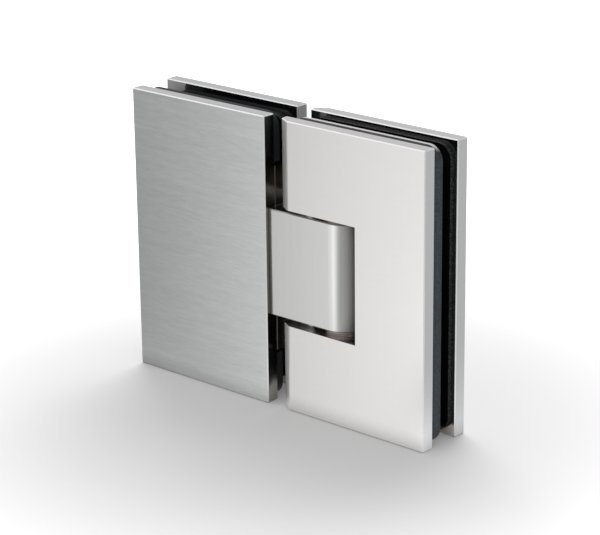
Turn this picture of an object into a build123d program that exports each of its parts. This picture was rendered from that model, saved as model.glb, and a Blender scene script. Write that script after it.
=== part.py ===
from build123d import *
import os

os.makedirs("parts", exist_ok=True)

# Glass-to-glass shower door hinge. X runs along the plates, Y through them, Z up.
# The origin is under the middle of the hinge, on the plane its lower edges stand on.
# The fixed wing lies on the left and carries the knuckle. The door wing swings on the pin.

# Cover plates
plate_height = 90.0
fixed_plate_width = 54.0
door_plate_width = 54.5
plate_thickness = 4.5
wing_gap = 5.0
edge_break = 0.3
bevel_width = 3.7
bevel_depth = 2.2

# How far a cut runs past the face that it opens
overcut = 1.0

# Glass and the gaskets on each side of it
glass_thickness = 5.0
thick_gasket = 1.5
thin_gasket = 1.25
front_gasket_inset = 0.4
fixed_back_gasket_inset = 3.0
door_back_gasket_inset = 1.5
gasket_corner = 4.5
gasket_block_gap = 1.0

# Blocks between the plates: the body's flange on the left, the pin carrier on the right
block_height = 58.0
block_thickness = 10.0
block_corner = 6.0
flange_depth = 34.0
carrier_depth = 38.0

# Knuckle of the body and the notch of the door wing around it
knuckle_height = 33.2
knuckle_thickness = 16.5
pivot_reach = 23.0
knuckle_plate_gap = 0.1
notch_end_gap = 3.05
carrier_knuckle_gap = 1.85
ear_radius = 7.0

# Pivot pin, its bushes and washers
pin_diameter = 7.0
pin_inset = 0.5
pin_seat_clearance = 0.02
cam_across_flats = 5.6
cam_length = 12.0
pin_end_chamfer = 0.5
bush_diameter = 10.0
bush_length = 8.0
bush_flange_diameter = 14.0
bush_flange_thickness = 0.9
bush_seat_clearance = 0.01
running_clearance = 0.03
washer_diameter = 14.0
washer_thickness = 0.4
end_play = 0.1

# Detent in the knuckle: plunger, spring and threaded plug
detent_bore = 7.0
plunger_clearance = 0.02
plunger_length = 17.0
plunger_pin_gap = 0.05
plunger_nose_chamfer = 0.6
spigot_diameter = 4.0
spigot_length = 3.0
spring_wire = 0.9
spring_diameter = 6.3
spring_turns = 8
spring_end_gap = 0.05
plug_length = 8.0
plug_inset = 1.0

# Screws
clamp_screw_diameter = 6.0
clamp_head_diameter = 11.6
clamp_socket = 4.0
clamp_clearance = 0.2
block_screw_diameter = 4.0
block_head_diameter = 7.6
block_socket = 2.5
block_clearance = 0.15
set_screw_diameter = 4.0
set_screw_length = 3.5
set_screw_socket = 2.0
set_screw_socket_depth = 1.6
thread_clearance = 0.05
head_clearance = 0.05
head_recess = 0.2
face_left_over_thread = 0.7
socket_depth = 2.2
fixed_clamp_offset = 24.0
fixed_clamp_spacing = 42.0
fixed_block_screw_offset = 10.0
fixed_block_screw_spacing = 26.0
door_block_screw_spacing = 18.0

# Worked out from the sizes above
plate_spacing = glass_thickness + 2 * (thick_gasket + thin_gasket)
overall_width = fixed_plate_width + wing_gap + door_plate_width
fixed_outer_x = -overall_width / 2
fixed_edge_x = fixed_outer_x + fixed_plate_width
door_edge_x = fixed_edge_x + wing_gap
door_outer_x = overall_width / 2
pivot_x = fixed_edge_x + pivot_reach
mid_z = plate_height / 2
inner_y = plate_spacing / 2
outer_y = inner_y + plate_thickness
block_front_y = -inner_y
block_back_y = block_front_y + block_thickness
knuckle_radius = knuckle_thickness / 2
knuckle_end_gap = bush_flange_thickness + washer_thickness + end_play
notch_height = knuckle_height + 2 * knuckle_end_gap
notch_end_x = pivot_x + knuckle_radius + notch_end_gap
flange_end_x = fixed_edge_x - flange_depth
carrier_end_x = door_edge_x + carrier_depth
ear_height = (block_height - notch_height) / 2
ear_z = notch_height / 2 + ear_height / 2
pin_radius = pin_diameter / 2
cam_flat = cam_across_flats / 2
plunger_nose_x = pivot_x - pin_radius - plunger_pin_gap
plug_outer_x = flange_end_x + plug_inset
spring_start_x = plug_outer_x + plug_length + spring_end_gap
spring_end_x = plunger_nose_x - plunger_length - spring_end_gap

# Screw places: X and Z of each axis
fixed_clamp_x = fixed_edge_x - fixed_clamp_offset
fixed_block_screw_x = fixed_edge_x - fixed_block_screw_offset
door_screw_x = (notch_end_x + carrier_end_x) / 2
fixed_clamp_places = [(fixed_clamp_x, mid_z + side * fixed_clamp_spacing / 2) for side in (-1, 1)]
door_clamp_places = [(door_screw_x, mid_z + side * ear_z) for side in (-1, 1)]
fixed_block_screw_places = [
    (fixed_block_screw_x, mid_z + side * fixed_block_screw_spacing / 2) for side in (-1, 1)
]
door_block_screw_places = [
    (door_screw_x, mid_z + side * door_block_screw_spacing / 2) for side in (-1, 1)
]


def span_box(x0, x1, y0, y1, z0, z1):
    # A box between two corners.
    middle = Pos((x0 + x1) / 2, (y0 + y1) / 2, (z0 + z1) / 2)
    return middle * Box(x1 - x0, y1 - y0, z1 - z0)


def rod_y(x, z, y0, y1, diameter):
    # A round bar or hole along Y.
    return Pos(x, (y0 + y1) / 2, z) * Rot(90, 0, 0) * Cylinder(diameter / 2, y1 - y0)


def rod_x(x0, x1, y, z, diameter):
    # A round bar or hole along X.
    return Pos((x0 + x1) / 2, y, z) * Rot(0, 90, 0) * Cylinder(diameter / 2, x1 - x0)


def rod_z(z0, z1, diameter):
    # A round bar or hole on the pivot axis.
    return Pos(pivot_x, 0, (z0 + z1) / 2) * Cylinder(diameter / 2, z1 - z0)


def hex_socket(across_flats, depth):
    # The key's socket, sunk from z = 0 upwards.
    return extrude(RegularPolygon(across_flats / 2, 6, major_radius=False), depth)


def countersunk_body(diameter, head_diameter, length):
    # Shank and 90 degree head about Z, with the head's flat at z = 0.
    radius = diameter / 2
    head_radius = head_diameter / 2
    outline = Polyline(
        (0, 0), (head_radius, 0), (radius, head_radius - radius), (radius, length), (0, length), (0, 0)
    )
    return revolve(Plane.XZ * make_face(outline), Axis.Z)


def countersunk_screw(diameter, head_diameter, length, socket):
    return countersunk_body(diameter, head_diameter, length) - hex_socket(socket, socket_depth)


def screws_at(places, head_y, screw):
    # Copies of one screw with their heads at head_y, pointing to the front.
    return Compound([Pos(x, head_y, z) * Rot(90, 0, 0) * screw for x, z in places])


def fixed_plate_blank():
    # Front plate of the fixed wing: a flat rectangle with lightly broken edges.
    blank = span_box(fixed_outer_x, fixed_edge_x, -outer_y, -inner_y, 0, plate_height)
    return chamfer(blank.edges(), edge_break)


def door_plate_blank():
    # Front plate of the door wing, bevelled along its hinge edge and notched for the knuckle.
    outline = Polyline(
        (door_edge_x, -inner_y),
        (door_edge_x, -outer_y + bevel_depth),
        (door_edge_x + bevel_width, -outer_y),
        (door_outer_x, -outer_y),
        (door_outer_x, -inner_y),
        close=True,
    )
    blank = extrude(make_face(outline), plate_height)
    blank = chamfer(blank.edges(), edge_break)
    notch = span_box(
        door_edge_x - wing_gap, notch_end_x, -2 * outer_y, 0,
        mid_z - notch_height / 2, mid_z + notch_height / 2,
    )
    return blank - notch


def threaded_blind_holes(places, diameter):
    # Tapped from the inner face of a front plate, leaving its outer face whole.
    bottom_y = -outer_y + face_left_over_thread
    bore = diameter + 2 * thread_clearance
    return [rod_y(x, z, bottom_y, -inner_y + overcut, bore) for x, z in places]


def front_plate(blank, clamp_places, block_places):
    holes = threaded_blind_holes(clamp_places, clamp_screw_diameter)
    holes += threaded_blind_holes(block_places, block_screw_diameter)
    return blank - holes


def back_plate(blank, clamp_places):
    # The same plate turned to the back, drilled and countersunk for the clamp screws.
    bore = clamp_screw_diameter + 2 * clamp_clearance
    head_bore = clamp_head_diameter + 2 * head_clearance
    head_y = outer_y - head_recess
    sink = countersunk_body(bore, head_bore, plate_thickness)
    plate = mirror(blank, Plane.XZ)
    for x, z in clamp_places:
        plate -= rod_y(x, z, 0, outer_y, bore)
        plate -= Pos(x, head_y, z) * Rot(90, 0, 0) * sink
        plate -= rod_y(x, z, head_y, outer_y + overcut, head_bore)
    return plate


def rounded_side(x0, x1, height, radius):
    # A rectangle in the XZ plane, seen from the front, with round corners.
    middle = ((x0 + x1) / 2, mid_z)
    return Pos(*middle) * RectangleRounded(x1 - x0, height, radius)


def through_y(face_xz, y0, y1):
    # A flat face drawn in X and Z, given its thickness from y0 to y1.
    return extrude(Plane.XZ.offset(-y1) * face_xz, y1 - y0)


def gasket(outer_x, edge_x, block_end_x, inset, y0, y1):
    # A flat sheet with round corners, set in from the plate's edges and cut out around the block.
    toward_edge = 1 if edge_x > outer_x else -1
    near_x = edge_x - toward_edge * inset
    far_x = outer_x + toward_edge * inset
    sheet = rounded_side(min(near_x, far_x), max(near_x, far_x), plate_height - 2 * inset, gasket_corner)
    cut_end_x = block_end_x - toward_edge * gasket_block_gap
    past_edge_x = edge_x + toward_edge * 2 * (block_corner + gasket_block_gap)
    cut = rounded_side(
        min(cut_end_x, past_edge_x), max(cut_end_x, past_edge_x),
        block_height + 2 * gasket_block_gap, block_corner + gasket_block_gap,
    )
    return through_y(sheet - cut, y0, y1)


def fixed_gasket(inset, y0, y1):
    return gasket(fixed_outer_x, fixed_edge_x, flange_end_x, inset, y0, y1)


def door_gasket(inset, y0, y1):
    return gasket(door_outer_x, door_edge_x, carrier_end_x, inset, y0, y1)


def block(x_edge, x_end):
    # A block between the plates, square on the hinge side and round at its far corners, with its
    # edges lightly broken.
    toward_end = 1 if x_end > x_edge else -1
    square_x = x_edge + toward_end * block_corner
    far_x = x_edge - toward_end * block_corner
    outline = rounded_side(min(far_x, x_end), max(far_x, x_end), block_height, block_corner)
    hinge_side = Pos((x_edge + far_x) / 2, mid_z) * Rectangle(abs(far_x - x_edge), block_height)
    square_side = Pos((x_edge + square_x) / 2, mid_z) * Rectangle(block_corner, block_height)
    plain = through_y(outline + square_side - hinge_side, block_front_y, block_back_y)
    return chamfer(plain.faces().filter_by(Axis.Y).edges(), edge_break)


def block_screw_holes(places):
    # Clearance holes for the screws that hold a block to its front plate, sunk from the back.
    bore = block_screw_diameter + 2 * block_clearance
    head_bore = block_head_diameter + 2 * head_clearance
    head_y = block_back_y - head_recess
    sink = countersunk_body(bore, head_bore, block_thickness)
    cuts = []
    for x, z in places:
        cuts.append(rod_y(x, z, block_front_y - overcut, block_back_y + overcut, bore))
        cuts.append(Pos(x, head_y, z) * Rot(90, 0, 0) * sink)
        cuts.append(rod_y(x, z, head_y, block_back_y + overcut, head_bore))
    return cuts


def clamp_screw_holes(places):
    bore = clamp_screw_diameter + 2 * clamp_clearance
    return [rod_y(x, z, block_front_y - overcut, block_back_y + overcut, bore) for x, z in places]


def hinge_body():
    # One casting: the flange between the plates and the round-ended knuckle that holds the pin.
    arm_start_x = fixed_edge_x + knuckle_plate_gap
    arm = Pos((arm_start_x + pivot_x) / 2, 0) * Rectangle(pivot_x - arm_start_x, knuckle_thickness)
    end = Pos(pivot_x, 0) * Circle(knuckle_radius)
    knuckle = extrude(arm + end, knuckle_height)
    rims = knuckle.faces().filter_by(Axis.Z).edges()
    knuckle = Pos(0, 0, mid_z - knuckle_height / 2) * chamfer(rims, edge_break)
    root = span_box(
        fixed_edge_x - block_corner, arm_start_x + edge_break, block_front_y, block_back_y,
        mid_z - knuckle_height / 2 + edge_break, mid_z + knuckle_height / 2 - edge_break,
    )
    body = block(fixed_edge_x, flange_end_x) + root + knuckle
    body -= rod_z(0, plate_height, bush_diameter + 2 * bush_seat_clearance)
    body -= rod_x(flange_end_x - overcut, pivot_x, 0, mid_z, detent_bore)
    body -= clamp_screw_holes(fixed_clamp_places)
    body -= block_screw_holes(fixed_block_screw_places)
    return body


def pin_carrier():
    # A C-shaped block in the door wing: two ears, rounded about the pin that they hold, and a back
    # that curves round the knuckle.
    ear_end_x = pivot_x - ear_radius
    length_from_pin = carrier_end_x - pivot_x
    plan = Pos(pivot_x, 0) * Circle(ear_radius)
    plan += Pos(pivot_x + length_from_pin / 2, 0) * Rectangle(length_from_pin, 2 * outer_y)
    carrier = block(ear_end_x, carrier_end_x) & extrude(plan, plate_height)
    room_radius = knuckle_radius + carrier_knuckle_gap
    z0 = mid_z - notch_height / 2
    z1 = mid_z + notch_height / 2
    carrier -= span_box(ear_end_x - overcut, pivot_x, -outer_y, outer_y, z0, z1)
    carrier -= rod_z(z0, z1, 2 * room_radius)
    carrier -= rod_z(0, plate_height, pin_diameter + 2 * pin_seat_clearance)
    for side in (-1, 1):
        bore = set_screw_diameter + 2 * thread_clearance
        carrier -= rod_x(ear_end_x - overcut, pivot_x, 0, mid_z + side * ear_z, bore)
    carrier -= clamp_screw_holes(door_clamp_places)
    carrier -= block_screw_holes(door_block_screw_places)
    return carrier


def pivot_pin():
    # A turned pin with four flats for the plunger and one flat at each end for its set screw.
    z0 = mid_z - block_height / 2 + pin_inset
    z1 = mid_z + block_height / 2 - pin_inset
    pin = rod_z(z0, z1, pin_diameter)
    pin = chamfer(pin.edges().filter_by(GeomType.CIRCLE), pin_end_chamfer)
    cam_z0 = mid_z - cam_length / 2
    cam_z1 = mid_z + cam_length / 2
    far = 2 * pin_diameter
    square = span_box(pivot_x - cam_flat, pivot_x + cam_flat, -cam_flat, cam_flat, cam_z0, cam_z1)
    pin -= span_box(pivot_x - far, pivot_x + far, -far, far, cam_z0, cam_z1) - square
    for side in (-1, 1):
        z = mid_z + side * ear_z
        flat_half = set_screw_diameter / 2 + running_clearance
        pin -= span_box(
            pivot_x - far, pivot_x - cam_flat, -far, far, z - flat_half, z + flat_half
        )
    return pin


def flanged_bush(side):
    # A sleeve pressed into one end of the knuckle, with its flange against the end face.
    face_z = mid_z + side * knuckle_height / 2
    inner_z = face_z - side * bush_length
    flange_z = face_z + side * bush_flange_thickness
    sleeve = rod_z(min(inner_z, face_z), max(inner_z, face_z), bush_diameter)
    flange = rod_z(min(face_z, flange_z), max(face_z, flange_z), bush_flange_diameter)
    return sleeve + flange - rod_z(0, plate_height, pin_diameter + 2 * running_clearance)


def thrust_washer(side):
    # A thin ring between a bush and the ear of the pin carrier.
    ear_face_z = mid_z + side * notch_height / 2
    free_z = ear_face_z - side * washer_thickness
    ring = rod_z(min(ear_face_z, free_z), max(ear_face_z, free_z), washer_diameter)
    return ring - rod_z(0, plate_height, pin_diameter + 2 * running_clearance)


def detent_plunger():
    # A steel plunger that presses on the pin's flats, with a spigot for its spring.
    back_x = plunger_nose_x - plunger_length
    body = rod_x(back_x, plunger_nose_x, 0, mid_z, detent_bore - 2 * plunger_clearance)
    nose = body.edges().filter_by(GeomType.CIRCLE).sort_by(Axis.X)[-1]
    body = chamfer(nose, plunger_nose_chamfer)
    return body + rod_x(back_x - spigot_length, back_x, 0, mid_z, spigot_diameter)


def detent_spring():
    # A stiff compression spring of square wire between the plug and the plunger.
    centre_length = spring_end_x - spring_start_x - spring_wire
    coil_radius = (spring_diameter - spring_wire) / 2
    line = Helix(centre_length / spring_turns, centre_length, coil_radius)
    section = Plane(origin=line @ 0, x_dir=(1, 0, 0), z_dir=line % 0) * Rectangle(spring_wire, spring_wire)
    coil = sweep(section, path=line, is_frenet=True)
    return Pos(spring_start_x + spring_wire / 2, 0, mid_z) * Rot(0, 90, 0) * coil


def detent_plug():
    # A threaded plug that closes the bore and sets the spring, with a key socket.
    plug = rod_x(plug_outer_x, plug_outer_x + plug_length, 0, mid_z, detent_bore - 2 * thread_clearance)
    return plug - Pos(plug_outer_x, 0, mid_z) * Rot(0, 90, 0) * hex_socket(block_socket, socket_depth)


def set_screw(side):
    # A grub screw in an ear that clamps the pin by its flat.
    z = mid_z + side * ear_z
    tip_x = pivot_x - cam_flat
    back_x = tip_x - set_screw_length
    screw = rod_x(back_x, tip_x, 0, z, set_screw_diameter)
    socket = hex_socket(set_screw_socket, set_screw_socket_depth)
    return screw - Pos(back_x, 0, z) * Rot(0, 90, 0) * socket


def clamp_screws(places):
    length = 2 * outer_y - head_recess - face_left_over_thread - thread_clearance
    screw = countersunk_screw(clamp_screw_diameter, clamp_head_diameter, length, clamp_socket)
    return screws_at(places, outer_y - head_recess, screw)


def block_screws(places):
    head_y = block_back_y - head_recess
    length = head_y + outer_y - face_left_over_thread - thread_clearance
    screw = countersunk_screw(block_screw_diameter, block_head_diameter, length, block_socket)
    return screws_at(places, head_y, screw)


fixed_blank = fixed_plate_blank()
door_blank = door_plate_blank()
fixed_stack = thick_gasket + thin_gasket
door_front_stack = thick_gasket + 2 * thin_gasket
front_y = -inner_y
back_y = inner_y

# On the door wing both thin gaskets lie at the front.
parts = {
    "fixed_front_plate": front_plate(fixed_blank, fixed_clamp_places, fixed_block_screw_places),
    "fixed_back_plate": back_plate(fixed_blank, fixed_clamp_places),
    "fixed_front_gasket": fixed_gasket(front_gasket_inset, front_y, front_y + thick_gasket),
    "fixed_front_thin_gasket": fixed_gasket(
        front_gasket_inset, front_y + thick_gasket, front_y + fixed_stack
    ),
    "fixed_back_gasket": fixed_gasket(fixed_back_gasket_inset, back_y - thick_gasket, back_y),
    "fixed_back_thin_gasket": fixed_gasket(
        fixed_back_gasket_inset, back_y - fixed_stack, back_y - thick_gasket
    ),
    "hinge_body": hinge_body(),
    "fixed_clamp_screws": clamp_screws(fixed_clamp_places),
    "body_screws": block_screws(fixed_block_screw_places),
    "upper_bush": flanged_bush(1),
    "lower_bush": flanged_bush(-1),
    "detent_plunger": detent_plunger(),
    "detent_spring": detent_spring(),
    "detent_plug": detent_plug(),
    "door_front_plate": front_plate(door_blank, door_clamp_places, door_block_screw_places),
    "door_back_plate": back_plate(door_blank, door_clamp_places),
    "door_front_gasket": door_gasket(front_gasket_inset, front_y, front_y + thick_gasket),
    "door_first_thin_gasket": door_gasket(
        front_gasket_inset, front_y + thick_gasket, front_y + fixed_stack
    ),
    "door_second_thin_gasket": door_gasket(
        front_gasket_inset, front_y + fixed_stack, front_y + door_front_stack
    ),
    "door_back_gasket": door_gasket(door_back_gasket_inset, back_y - thick_gasket, back_y),
    "pin_carrier": pin_carrier(),
    "pivot_pin": pivot_pin(),
    "upper_thrust_washer": thrust_washer(1),
    "lower_thrust_washer": thrust_washer(-1),
    "pin_set_screws": Compound([set_screw(side) for side in (-1, 1)]),
    "door_clamp_screws": clamp_screws(door_clamp_places),
    "carrier_screws": block_screws(door_block_screw_places),
}

for name, shape in parts.items():
    export_step(shape, f"parts/{name}.step")
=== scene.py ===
import math

import bpy
from mathutils import Matrix, Vector


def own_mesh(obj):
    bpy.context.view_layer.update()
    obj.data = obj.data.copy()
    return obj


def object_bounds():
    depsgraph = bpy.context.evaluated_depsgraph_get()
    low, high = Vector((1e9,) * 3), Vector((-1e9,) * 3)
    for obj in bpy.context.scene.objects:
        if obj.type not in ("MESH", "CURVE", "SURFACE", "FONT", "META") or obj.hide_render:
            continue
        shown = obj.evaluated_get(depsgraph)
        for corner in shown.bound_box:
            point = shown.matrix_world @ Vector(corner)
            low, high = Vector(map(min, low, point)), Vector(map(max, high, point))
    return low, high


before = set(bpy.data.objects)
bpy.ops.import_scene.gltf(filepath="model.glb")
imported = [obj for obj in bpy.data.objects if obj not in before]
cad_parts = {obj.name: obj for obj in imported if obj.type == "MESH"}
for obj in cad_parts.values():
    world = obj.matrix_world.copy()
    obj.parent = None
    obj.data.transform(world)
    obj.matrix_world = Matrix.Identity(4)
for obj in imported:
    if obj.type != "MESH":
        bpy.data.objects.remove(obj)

model_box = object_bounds()

# The view on the hinge: from the front right and a little above, through a long lens, the hinge
# standing on its lower edges with the door wing nearer than the fixed wing. The picture is 600 by 535.
MM = 0.001
view_azimuth = math.radians(41.27)
view_elevation = math.radians(18.83)
view_roll = math.radians(-0.66)
view_distance = 671 * MM
view_target = Vector((1.87, 0.25, 41.92)) * MM
picture_width = 600
focal_length_in_pixels = 2242
sensor_width = 36
nearest_seen = 50 * MM

view_back = Vector((
    math.sin(view_azimuth) * math.cos(view_elevation),
    -math.cos(view_azimuth) * math.cos(view_elevation),
    math.sin(view_elevation),
))
level_right = Vector((0, 0, 1)).cross(view_back).normalized()
level_up = view_back.cross(level_right)
view_right = level_right * math.cos(view_roll) + level_up * math.sin(view_roll)
view_up = level_up * math.cos(view_roll) - level_right * math.sin(view_roll)

camera = bpy.data.objects.new("camera", bpy.data.cameras.new("camera"))
bpy.context.scene.collection.objects.link(camera)
camera_axes = Matrix((view_right, view_up, view_back)).transposed()
camera.matrix_world = Matrix.Translation(view_target + view_back * view_distance) @ camera_axes.to_4x4()
camera.data.sensor_width = sensor_width
camera.data.lens = focal_length_in_pixels / picture_width * sensor_width
camera.data.clip_start = nearest_seen
bpy.context.scene.camera = camera
bpy.context.scene.view_settings.view_transform = "Standard"


# The hinge body is one steel casting: a flange that sits between the left plates and a knuckle with a
# half-round end. The knuckle is brushed upwards to a satin surface and bored for the pin, and the flange
# above and below it is darkened with painted shade.
knuckle_reach = 16.8 * MM
middle_height = (model_box[0][2] + model_box[1][2]) / 2


def fill(links, socket, value):
    # Gives a socket a number or colour, or links it to the socket that holds one.
    if isinstance(value, bpy.types.NodeSocket):
        links.new(value, socket)
    else:
        socket.default_value = value


def calculated(nodes, links, operation, *values, clamp=False):
    # A number calculated from one, two or three others.
    step = nodes.new("ShaderNodeMath")
    step.operation = operation
    step.use_clamp = clamp
    for socket, value in zip(step.inputs, values):
        fill(links, socket, value)
    return step.outputs[0]


def ranged(nodes, links, value, given, wanted, easing="LINEAR"):
    # A number that goes from one wanted end to the other as the value crosses the given range.
    step = nodes.new("ShaderNodeMapRange")
    step.interpolation_type = easing
    step.inputs["From Min"].default_value, step.inputs["From Max"].default_value = given
    step.inputs["To Min"].default_value, step.inputs["To Max"].default_value = wanted
    links.new(value, step.inputs["Value"])
    return step.outputs["Result"]


def mixed(nodes, links, kind, share, first, second, blend="MIX"):
    # The first number or colour, with a share of the second mixed in or multiplied on.
    mix = nodes.new("ShaderNodeMix")
    mix.data_type = kind
    mix.blend_type = blend
    fill(links, mix.inputs["Factor"], share)
    fill(links, mix.inputs["A"], first)
    fill(links, mix.inputs["B"], second)
    return mix.outputs["Result"]


def toned(nodes, links, value, low, high):
    # A colour that goes from the low one to the high one as the value rises between their places.
    ramp = nodes.new("ShaderNodeValToRGB")
    for element, (place, colour) in zip(ramp.color_ramp.elements, (low, high)):
        element.position = place
        element.color = (*colour, 1)
    links.new(value, ramp.inputs["Fac"])
    return ramp.outputs["Color"]


def new_group(name, inputs, outputs):
    # An empty node group with its named sockets. Its outputs are all plain numbers.
    group = bpy.data.node_groups.new(name, "ShaderNodeTree")
    for socket, kind in inputs.items():
        group.interface.new_socket(socket, in_out="INPUT", socket_type=kind)
    for socket in outputs:
        group.interface.new_socket(socket, in_out="OUTPUT", socket_type="NodeSocketFloat")
    return group, group.nodes.new("NodeGroupInput").outputs, group.nodes.new("NodeGroupOutput").inputs


scratch_detail = 3
band_detail = 2
noise_roughness = 0.6


def stretched_noise(nodes, links, coordinates, frequency, place, detail):
    # Noise stretched by a frequency vector, in cycles per metre along each axis.
    stretch = nodes.new("ShaderNodeVectorMath")
    stretch.operation = "MULTIPLY"
    links.new(coordinates, stretch.inputs[0])
    links.new(frequency, stretch.inputs[1])
    shift = nodes.new("ShaderNodeVectorMath")
    shift.operation = "ADD"
    links.new(stretch.outputs[0], shift.inputs[0])
    links.new(place, shift.inputs[1])
    noise = nodes.new("ShaderNodeTexNoise")
    noise.inputs["Scale"].default_value = 1
    noise.inputs["Detail"].default_value = detail
    noise.inputs["Roughness"].default_value = noise_roughness
    links.new(shift.outputs[0], noise.inputs["Vector"])
    return noise.outputs["Fac"]


def brushed_grain_group():
    # Fine scratches and broader bands that run along one direction, given as frequencies.
    vector = "NodeSocketVector"
    group, given, result = new_group(
        "brushed_grain",
        {"Fine frequency": vector, "Broad frequency": vector, "Place": vector},
        ("Scratches", "Bands"),
    )
    nodes, links = group.nodes, group.links
    coordinates = nodes.new("ShaderNodeTexCoord").outputs["Object"]
    place = given["Place"]
    fine = stretched_noise(nodes, links, coordinates, given["Fine frequency"], place, scratch_detail)
    broad = stretched_noise(nodes, links, coordinates, given["Broad frequency"], place, band_detail)
    links.new(fine, result["Scratches"])
    links.new(broad, result["Bands"])
    return group


# How squarely a surface faces along one of the axes where it is still a flat face, and where it is
# wholly a broken edge.
square_of_a_face = 0.98
square_of_an_edge = 0.8


def broken_edge_group():
    # Masks of a piece's broken edges, of all that doesn't face to the front or back, of its top and
    # bottom, of what lies within a depth of the middle plane, and of what lies beyond a reach from
    # mid height.
    group, given, result = new_group(
        "broken_edge",
        {"Inner depth": "NodeSocketFloat", "Reach": "NodeSocketFloat"},
        ("Edge", "Side", "Top", "Inner", "Beyond"),
    )
    nodes, links = group.nodes, group.links
    coordinates = nodes.new("ShaderNodeTexCoord").outputs
    place = nodes.new("ShaderNodeSeparateXYZ")
    links.new(coordinates["Object"], place.inputs[0])
    depth = calculated(nodes, links, "ABSOLUTE", place.outputs["Y"])
    links.new(calculated(nodes, links, "LESS_THAN", depth, given["Inner depth"]), result["Inner"])
    rise = calculated(nodes, links, "SUBTRACT", place.outputs["Z"], middle_height)
    height = calculated(nodes, links, "ABSOLUTE", rise)
    links.new(calculated(nodes, links, "GREATER_THAN", height, given["Reach"]), result["Beyond"])

    facing = nodes.new("ShaderNodeVectorMath")
    facing.operation = "ABSOLUTE"
    links.new(coordinates["Normal"], facing.inputs[0])
    shares = nodes.new("ShaderNodeSeparateXYZ")
    links.new(facing.outputs[0], shares.inputs[0])
    level = calculated(nodes, links, "MAXIMUM", shares.outputs["X"], shares.outputs["Y"])
    largest = calculated(nodes, links, "MAXIMUM", level, shares.outputs["Z"])
    edge = ranged(nodes, links, largest, (square_of_a_face, square_of_an_edge), (0, 1))
    links.new(edge, result["Edge"])
    links.new(calculated(nodes, links, "SUBTRACT", 1, shares.outputs["Y"], clamp=True), result["Side"])
    links.new(shares.outputs["Z"], result["Top"])
    return group


brushed_grain = brushed_grain_group()
broken_edge = broken_edge_group()


def new_finish(name):
    # An empty finish, with its nodes, its links and the shader of its surface.
    material = bpy.data.materials.new(name)
    material.use_nodes = True
    nodes = material.node_tree.nodes
    return material, nodes, material.node_tree.links, nodes["Principled BSDF"]


def placed(nodes, group, values):
    # The outputs of a node group that is placed in a finish with values of its own.
    node = nodes.new("ShaderNodeGroup")
    node.node_tree = group
    for name, value in values.items():
        node.inputs[name].default_value = value
    return node.outputs


# The painted gap shade starts at one openness of a gap and is full at another, where 1 is wide open.
gap_shade_reach = 12 * MM
gap_shade_samples = 8
gap_shade_starts_at = 0.72
gap_shade_is_full_at = 0.2


def painted_gap_shade(nodes, links, colour, tint):
    # Painted shade: a dull darkening where the pieces stand close together.
    openness = nodes.new("ShaderNodeAmbientOcclusion")
    openness.samples = gap_shade_samples
    openness.inputs["Distance"].default_value = gap_shade_reach
    gap_shade = ranged(nodes, links, openness.outputs["AO"], (gap_shade_starts_at, gap_shade_is_full_at), (0, 1))
    return mixed(nodes, links, "RGBA", gap_shade, colour, (*tint, 1), "MULTIPLY")


scratch_depth = 0.05 * MM


def scratch_relief(nodes, links, scratches, strength, surface):
    # The height of the scratches, as a slight bump of the surface.
    bump = nodes.new("ShaderNodeBump")
    bump.inputs["Strength"].default_value = strength
    bump.inputs["Distance"].default_value = scratch_depth
    links.new(scratches, bump.inputs["Height"])
    links.new(bump.outputs["Normal"], surface.inputs["Normal"])


# The tone runs from dark to light between two heights of the grain, and the roughness of the bands varies
# by two factors. A reach of one metre, outside which shade is painted, takes in the whole hinge.
dark_at = 0.3
light_at = 0.7
band_share = 0.35
smoothest_band = 0.85
roughest_band = 1.15
polished_roughness = 0.12
edge_roughness = 0.55
gloss_turn = 0.25
no_tint = (1, 1, 1)
# The tints of the painted shade beyond the reach and of the painted shade in the gaps.
painted_shade_beyond = (0.34, 0.315, 0.285)
brown_gap_shade = (0.14, 0.125, 0.115)
whole_hinge = 1.0


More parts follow.
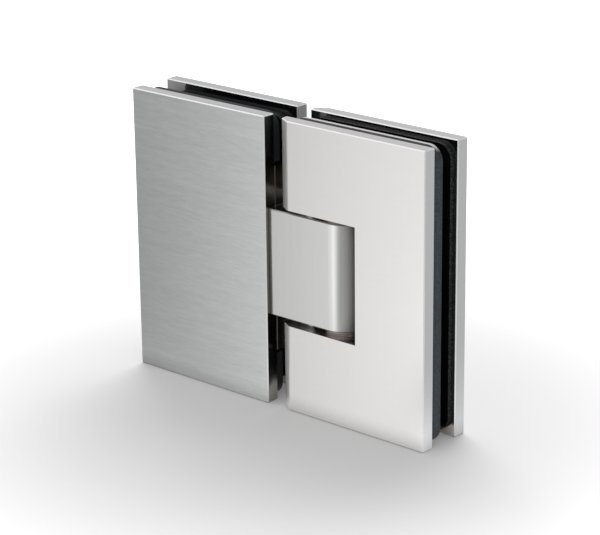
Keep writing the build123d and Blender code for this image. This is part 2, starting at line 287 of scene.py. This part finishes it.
def brushed_metal(
    name, dark, light, roughness, fine, broad, place, anisotropic=0, painted_end_tint=no_tint, painted_top_tint=no_tint,
    side_roughness=0.22, polished_depth=0, unshaded_reach=whole_hinge, bump=0.04, gap_shade=brown_gap_shade,
    painted_edge_scale=1.25,
):
    # Steel with scratches along its grain and softer bands of tone. Its ends, its top and its bottom have
    # their own roughness and painted tints of shade and reflection. Its edges are matt, with a tone scaled
    # from the light one: a painted highlight where brighter, a painted shade where darker. Its faces within
    # the polished depth are smooth. Beyond the reach it is darkened with painted shade, and painted shade
    # lies in the gaps.
    material, nodes, links, surface = new_finish(name)
    surface.inputs["Metallic"].default_value = 1
    surface.inputs["Anisotropic"].default_value = anisotropic
    surface.inputs["Anisotropic Rotation"].default_value = gloss_turn
    grain = placed(nodes, brushed_grain, {"Fine frequency": fine, "Broad frequency": broad, "Place": place})
    edge = placed(nodes, broken_edge, {"Inner depth": polished_depth, "Reach": unshaded_reach})

    streaks = mixed(nodes, links, "FLOAT", band_share, grain["Scratches"], grain["Bands"])
    tone = toned(nodes, links, streaks, (dark_at, dark), (light_at, light))
    # Painted tints of shade and reflection on the ends, top and bottom.
    painted_side_tint = mixed(nodes, links, "RGBA", edge["Top"], (*painted_end_tint, 1), (*painted_top_tint, 1))
    tone = mixed(nodes, links, "RGBA", edge["Side"], tone, painted_side_tint, "MULTIPLY")
    # A painted highlight on the broken edges where the scale is above 1, a painted shade where it is below.
    painted_edge_tone = (*(min(1, c * painted_edge_scale) for c in light), 1)
    tone = mixed(nodes, links, "RGBA", edge["Edge"], tone, painted_edge_tone)
    # Painted shade beyond the reach from mid height.
    tone = mixed(nodes, links, "RGBA", edge["Beyond"], tone, (*painted_shade_beyond, 1), "MULTIPLY")
    # Painted shade in the gaps.
    links.new(painted_gap_shade(nodes, links, tone, gap_shade), surface.inputs["Base Color"])

    band_roughness = (roughness * smoothest_band, roughness * roughest_band)
    rough = ranged(nodes, links, grain["Bands"], (0, 1), band_roughness)
    rough = mixed(nodes, links, "FLOAT", edge["Side"], rough, side_roughness)
    rough = mixed(nodes, links, "FLOAT", edge["Inner"], rough, polished_roughness)
    rough = mixed(nodes, links, "FLOAT", edge["Edge"], rough, edge_roughness)
    links.new(rough, surface.inputs["Roughness"])
    scratch_relief(nodes, links, grain["Scratches"], bump, surface)
    return material


def finish_node(node, material):
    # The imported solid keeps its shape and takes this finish.
    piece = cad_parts[node]
    piece.data.materials.clear()
    piece.data.materials.append(material)
    return piece


# On the body, the flange beyond the knuckle's reach and the broken edges are darkened with painted shade,
# and a pale painted shade lies in the gaps.
body_finish = brushed_metal(
    "body_finish", dark=(0.585, 0.585, 0.58), light=(0.62, 0.62, 0.615), roughness=0.2, bump=0.02,
    fine=(5000, 5000, 150), broad=(900, 900, 12), place=(3, 1, 7), unshaded_reach=knuckle_reach,
    gap_shade=(0.62, 0.58, 0.53), painted_edge_scale=0.8,
)
finish_node("hinge_body", body_finish)


# Two oil-bronze bushes are pressed into the knuckle from its ends, each with a flange against the
# end face. The thrust washers between them and the carrier's ears are stamped from stainless sheet.
turning_marks = 2500
turning_bands = turning_marks / 12
turned_shades = (0.82, 1.1)
turned_dark_at = 0.2
turned_light_at = 0.8
turned_roughness = (0.8, 1.2)
turned_relief = 0.05


def turned_metal(name, tone, roughness):
    # Machined metal: fine noise in tone and roughness, with a slight relief.
    material, nodes, links, surface = new_finish(name)
    surface.inputs["Metallic"].default_value = 1
    frequencies = {"Fine frequency": (turning_marks,) * 3, "Broad frequency": (turning_bands,) * 3}
    grain = placed(nodes, brushed_grain, frequencies)
    darker, paler = (tuple(c * shade for c in tone) for shade in turned_shades)
    shaded = toned(nodes, links, grain["Bands"], (turned_dark_at, darker), (turned_light_at, paler))
    links.new(shaded, surface.inputs["Base Color"])
    roughness_range = tuple(roughness * factor for factor in turned_roughness)
    rough = ranged(nodes, links, grain["Scratches"], (0, 1), roughness_range)
    links.new(rough, surface.inputs["Roughness"])
    scratch_relief(nodes, links, grain["Scratches"], turned_relief, surface)
    return material


bush_finish = turned_metal("bush_finish", tone=(0.50, 0.42, 0.37), roughness=0.42)
washer_finish = turned_metal("washer_finish", tone=(0.55, 0.50, 0.47), roughness=0.3)
for end in ("upper", "lower"):
    finish_node(f"{end}_bush", bush_finish)
    finish_node(f"{end}_thrust_washer", washer_finish)


# The detent sits in the knuckle's cross bore: a ground steel plunger, a drawn wire spring behind it
# that shortens as the plunger goes back, and a blackened plug that is screwed in from the flange's end.
ground_steel = turned_metal("ground_steel", tone=(0.66, 0.66, 0.67), roughness=0.2)
spring_wire = turned_metal("spring_wire", tone=(0.35, 0.34, 0.33), roughness=0.38)
black_steel = turned_metal("black_steel", tone=(0.09, 0.09, 0.095), roughness=0.42)
finish_node("detent_plunger", ground_steel)
spring = finish_node("detent_spring", spring_wire)
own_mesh(spring)
finish_node("detent_plug", black_steel)


# The door wing's pin carrier is milled from steel bar, and its grain stands upright. The ground pin is
# slid down through its ears and the knuckle, and two grub screws in the ears clamp it by its flats.
# A brownish painted shade lies in the carrier's gaps.
carrier_finish = brushed_metal(
    "carrier_finish", dark=(0.62, 0.57, 0.53), light=(0.72, 0.67, 0.62), roughness=0.24,
    fine=(4000, 4000, 400), broad=(500, 500, 40), place=(9, 4, 2), gap_shade=(0.62, 0.54, 0.46),
)
finish_node("pin_carrier", carrier_finish)
finish_node("pivot_pin", ground_steel)
finish_node("pin_set_screws", black_steel)


# The cover plates are cut from 4.5 mm flat stock, brushed along their width, and their edges are
# lightly broken. The door plates are bevelled beside the gap and notched for the knuckle.
# The plates' ends and tops carry painted tints of shade and reflection, their broken edges a painted
# highlight, and painted shade lies in their gaps.
plate_brushing = {
    "fine": (260, 2300, 2300), "broad": (36, 620, 620), "roughness": 0.3, "anisotropic": 0.5, "bump": 0.02,
    "painted_top_tint": (0.985, 0.955, 1.0), "polished_depth": 5.5 * MM, "painted_edge_scale": 1.45,
}
plate_finishes = {
    "fixed_front_plate": {
        "dark": (0.58, 0.60, 0.59), "light": (0.69, 0.71, 0.70), "place": (1, 2, 3),
        "painted_end_tint": (0.64, 0.615, 0.60), "side_roughness": 0.2,
    },
    "fixed_back_plate": {
        "dark": (0.56, 0.57, 0.565), "light": (0.64, 0.65, 0.645), "place": (4, 5, 6),
        "painted_end_tint": (0.50, 0.49, 0.495), "side_roughness": 0.16,
    },
    "door_front_plate": {
        "dark": (0.70, 0.69, 0.68), "light": (0.72, 0.71, 0.70), "place": (7, 8, 9),
        "painted_end_tint": (0.97, 0.995, 1.02), "side_roughness": 0.16,
    },
    "door_back_plate": {
        "dark": (0.68, 0.67, 0.66), "light": (0.71, 0.70, 0.69), "place": (2, 6, 4),
        "painted_end_tint": (0.97, 0.995, 1.02), "side_roughness": 0.16,
    },
}
for node, finish in plate_finishes.items():
    finish_node(node, brushed_metal(f"{node}_finish", **plate_brushing, **finish))


# The gaskets are cut from black sheet rubber. Their faces are smooth and glossy, their cut edges are
# a greyer, speckled matt. They are stacked dry between the plates and the glass.
rubber_grain = {"Fine frequency": (3200, 3200, 3200), "Broad frequency": (150, 150, 150)}
face_black = (0.006, 0.007, 0.009)
face_grey = (0.014, 0.015, 0.018)
cut_black = (0.016, 0.019, 0.022)
cut_grey = (0.048, 0.054, 0.059)
cut_black_at = 0.3
cut_grey_at = 0.72
top_darkening = -0.7
rubber_gap_shade = (0.3, 0.3, 0.3)
top_highlight_colour = (0.80, 0.78, 0.76)
top_highlight_facing_up = (0.6, 0.95)
speck_heights = (0.56, 0.66)
rubber_gloss = 0.15
face_and_cut_roughness = (0.14, 0.6)
rubber_relief = 0.12


def sheet_rubber(name, place, greyness, top_highlight, specks):
    # Black rubber with speckled grey cut edges, darker at the top and bottom. A painted highlight may lie
    # along the upper edge, and pale specks on all the cut edges.
    material, nodes, links, surface = new_finish(name)
    grain = placed(nodes, brushed_grain, {**rubber_grain, "Place": place})
    edge = placed(nodes, broken_edge, {})
    face_tone = toned(nodes, links, grain["Bands"], (0, face_black), (1, face_grey))
    cut_dark = tuple(c * greyness for c in cut_black)
    cut_light = tuple(c * greyness for c in cut_grey)
    cut_tone = toned(nodes, links, grain["Scratches"], (cut_black_at, cut_dark), (cut_grey_at, cut_light))
    side = edge["Side"]
    cut_share = calculated(nodes, links, "MULTIPLY_ADD", edge["Top"], top_darkening, side, clamp=True)
    tone = mixed(nodes, links, "RGBA", cut_share, face_tone, cut_tone)

    facing = nodes.new("ShaderNodeSeparateXYZ")
    links.new(nodes.new("ShaderNodeTexCoord").outputs["Normal"], facing.inputs[0])
    # A painted highlight along the upper edge, where the surface faces up.
    top_highlight_share = ranged(nodes, links, facing.outputs["Z"], top_highlight_facing_up, (0, top_highlight))
    speck_share = ranged(nodes, links, grain["Scratches"], speck_heights, (0, specks))
    cut_specks = calculated(nodes, links, "MULTIPLY", speck_share, side)
    pale_share = calculated(nodes, links, "MAXIMUM", top_highlight_share, cut_specks)
    # Painted shade in the gaps.
    gap_shaded = painted_gap_shade(nodes, links, tone, rubber_gap_shade)
    top_highlighted = mixed(nodes, links, "RGBA", pale_share, gap_shaded, (*top_highlight_colour, 1))
    links.new(top_highlighted, surface.inputs["Base Color"])
    surface.inputs["Specular IOR Level"].default_value = rubber_gloss
    rough = ranged(nodes, links, side, (0, 1), face_and_cut_roughness)
    links.new(rough, surface.inputs["Roughness"])
    scratch_relief(nodes, links, grain["Scratches"], rubber_relief, surface)
    return material


# For each gasket, how grey its cut edges are, how much painted highlight lies along its upper edge, and how
# plain the pale specks on its cut edges are.
gasket_looks = {
    "fixed_front_gasket": (0.7, 0, 0.03),
    "fixed_front_thin_gasket": (0.6, 0.03, 0.03),
    "fixed_back_gasket": (0.5, 0, 0.03),
    "fixed_back_thin_gasket": (0.5, 0.03, 0.03),
    "door_front_gasket": (1.8, 0, 0.05),
    "door_first_thin_gasket": (2.1, 0, 0.05),
    "door_second_thin_gasket": (1.9, 0.75, 0.05),
    "door_back_gasket": (0.4, 0.02, 0.25),
}
for order, (node, (greyness, top_highlight, specks)) in enumerate(gasket_looks.items()):
    finish_node(node, sheet_rubber(f"{node}_rubber", (order, 2 * order, 3 * order), greyness, top_highlight, specks))


# Stainless countersunk screws with key sockets: two clamp each wing through its back plate, and two
# smaller ones hold the body and the carrier to their front plates.
screw_finish = turned_metal("screw_finish", tone=(0.60, 0.60, 0.60), roughness=0.26)
for node in ("fixed_clamp_screws", "door_clamp_screws", "body_screws", "carrier_screws"):
    finish_node(node, screw_finish)


# A plain pale floor under the hinge. It is seen as white further off and keeps the hinge's soft shadow
# near it. What the front faces mirror of it is darker to the left, and right of the knuckle it goes
# from bright to dark to pale. What the back faces mirror is darker to the far right.
floor_size = 6.0
floor_colour = (0.78, 0.78, 0.78, 1)
floor_roughness = 0.9
floor_gloss = 0.1
glow_ring = (55 * MM, 220 * MM)
glow_inside_and_outside = (0.14, 0.8)
corner = floor_size / 2
floor_corners = [(-corner, -corner, 0), (corner, -corner, 0), (corner, corner, 0), (-corner, corner, 0)]
floor_mesh = bpy.data.meshes.new("floor")
floor_mesh.from_pydata(floor_corners, [], [(0, 1, 2, 3)])
floor = bpy.data.objects.new("floor", floor_mesh)
bpy.context.scene.collection.objects.link(floor)

floor_material, floor_nodes, floor_links, floor_surface = new_finish("floor_material")
floor_surface.inputs["Base Color"].default_value = floor_colour
floor_surface.inputs["Roughness"].default_value = floor_roughness
floor_surface.inputs["Specular IOR Level"].default_value = floor_gloss
floor_surface.inputs["Emission Color"].default_value = (1, 1, 1, 1)
floor_place = floor_nodes.new("ShaderNodeTexCoord").outputs["Object"]
floor_path = floor_nodes.new("ShaderNodeLightPath").outputs


def eased(nodes, links, value, given, wanted):
    # A number that eases from one wanted end to the other as the value crosses the given range.
    return ranged(nodes, links, value, given, wanted, "SMOOTHSTEP")


def seen_directly(nodes, links, path):
    # Whether a ray comes from the camera, straight or through glass.
    return calculated(nodes, links, "MAXIMUM", path["Is Camera Ray"], path["Is Transmission Ray"])


distance = floor_nodes.new("ShaderNodeVectorMath")
distance.operation = "LENGTH"
floor_links.new(floor_place, distance.inputs[0])
glow = eased(floor_nodes, floor_links, distance.outputs["Value"], glow_ring, glow_inside_and_outside)
floor_seen = seen_directly(floor_nodes, floor_links, floor_path)
floor_glow = calculated(floor_nodes, floor_links, "MULTIPLY", glow, floor_seen)
floor_links.new(floor_glow, floor_surface.inputs["Emission Strength"])

# The way in which the front faces mirror the view along the floor, and the way across it. Along both
# are measured the knuckle's place and the ranges over which the mirrored tone changes.
mirrored_ahead = (math.sin(-view_azimuth), -math.cos(view_azimuth), 0)
mirrored_aside = (math.cos(view_azimuth), math.sin(-view_azimuth), 0)
knuckle_ahead = -7 * MM
knuckle_aside = 20 * MM
right_of_the_knuckle = (45 * MM, 65 * MM)
left_and_right = (-58 * MM, 52 * MM)
left_and_right_tone = (0.37, 1.22)
front_and_back = (-30 * MM, 30 * MM)
back_right = (30 * MM, 110 * MM)
back_right_tone = (1, 0.62)
mirrored_share = 0.9


def length_along(nodes, links, place, direction):
    # How far a place lies along a direction.
    length = nodes.new("ShaderNodeVectorMath")
    length.operation = "DOT_PRODUCT"
    length.inputs[1].default_value = direction
    links.new(place, length.inputs[0])
    return length.outputs["Value"]


aside = length_along(floor_nodes, floor_links, floor_place, mirrored_aside)
ahead = length_along(floor_nodes, floor_links, floor_place, mirrored_ahead)
from_knuckle_aside = calculated(floor_nodes, floor_links, "ADD", aside, -knuckle_aside)
from_knuckle_ahead = calculated(floor_nodes, floor_links, "ADD", ahead, -knuckle_ahead)
bearing = calculated(floor_nodes, floor_links, "ARCTAN2", from_knuckle_aside, from_knuckle_ahead)
beside = eased(floor_nodes, floor_links, aside, right_of_the_knuckle, (0, 1))

# Bearings from the knuckle, in radians, over which the tone to its right changes, each with the share
# of itself that the tone gains or loses.
changes_by_bearing = (((0.22, 0.42), 0.3), ((0.5, 1.05), -0.76), ((1.2, 1.7), 1.4))
front_tone = eased(floor_nodes, floor_links, aside, left_and_right, left_and_right_tone)
for bearings, full_change in changes_by_bearing:
    change_here = eased(floor_nodes, floor_links, bearing, bearings, (0, full_change))
    change = calculated(floor_nodes, floor_links, "MULTIPLY", change_here, beside)
    factor = calculated(floor_nodes, floor_links, "ADD", change, 1)
    front_tone = calculated(floor_nodes, floor_links, "MULTIPLY", front_tone, factor)

floor_parts = floor_nodes.new("ShaderNodeSeparateXYZ")
floor_links.new(floor_place, floor_parts.inputs[0])
back_tone = eased(floor_nodes, floor_links, floor_parts.outputs["X"], back_right, back_right_tone)
behind = eased(floor_nodes, floor_links, floor_parts.outputs["Y"], front_and_back, (0, 1))
mirrored_tone = mixed(floor_nodes, floor_links, "FLOAT", behind, front_tone, back_tone)
mirrored = floor_nodes.new("ShaderNodeEmission")
floor_links.new(mirrored_tone, mirrored.inputs["Strength"])
glossy = floor_path["Is Glossy Ray"]
mirrored_part = calculated(floor_nodes, floor_links, "MULTIPLY", glossy, mirrored_share)
floor_mix = floor_nodes.new("ShaderNodeMixShader")
floor_links.new(mirrored_part, floor_mix.inputs["Fac"])
floor_links.new(floor_surface.outputs["BSDF"], floor_mix.inputs[1])
floor_links.new(mirrored.outputs["Emission"], floor_mix.inputs[2])
floor_links.new(floor_mix.outputs["Shader"], floor_nodes["Material Output"].inputs["Surface"])
floor_mesh.materials.append(floor_material)


# Soft studio light: a pale room that is seen as white and mirrored with a greyer back and right end,
# and a large soft box above, behind and to the left, so that the shadow falls to the front right.
room_level = 0.5
room_white = 1.0
towards_the_back = (-0.3, 0.3)
back_grey = 0.72
towards_the_right = (0.3, 0.7)
right_grey = 0.45
world = bpy.data.worlds.new("room")
bpy.context.scene.world = world
world.use_nodes = True
world_nodes, world_links = world.node_tree.nodes, world.node_tree.links
background = world_nodes["Background"]
background.inputs["Color"].default_value = (1, 1, 1, 1)
room_parts = world_nodes.new("ShaderNodeSeparateXYZ")
world_links.new(world_nodes.new("ShaderNodeTexCoord").outputs["Generated"], room_parts.inputs[0])
back_room = eased(world_nodes, world_links, room_parts.outputs["Y"], towards_the_back, (1, back_grey))
right_room = eased(world_nodes, world_links, room_parts.outputs["X"], towards_the_right, (1, right_grey))
room_mirrored = calculated(world_nodes, world_links, "MULTIPLY", back_room, right_room)
room_path = world_nodes.new("ShaderNodeLightPath").outputs
room_glossy = room_path["Is Glossy Ray"]
room_light = mixed(world_nodes, world_links, "FLOAT", room_glossy, room_level, room_mirrored)
room_seen = seen_directly(world_nodes, world_links, room_path)
room_strength = mixed(world_nodes, world_links, "FLOAT", room_seen, room_light, room_white)
world_links.new(room_strength, background.inputs["Strength"])

box_place = Vector((-0.25, 0.38, 0.62))
box_aim = Vector((0, 0, 0.03))
box_side = 0.6
box_power = 4.0
soft_box = bpy.data.objects.new("overhead_box", bpy.data.lights.new("overhead_box", "AREA"))
bpy.context.scene.collection.objects.link(soft_box)
soft_box.data.shape = "RECTANGLE"
soft_box.data.size = box_side
soft_box.data.size_y = box_side
soft_box.data.energy = box_power
soft_box.location = box_place
soft_box.rotation_mode = "QUATERNION"
soft_box.rotation_quaternion = (box_aim - box_place).to_track_quat("-Z", "Y")
soft_box.visible_glossy = False
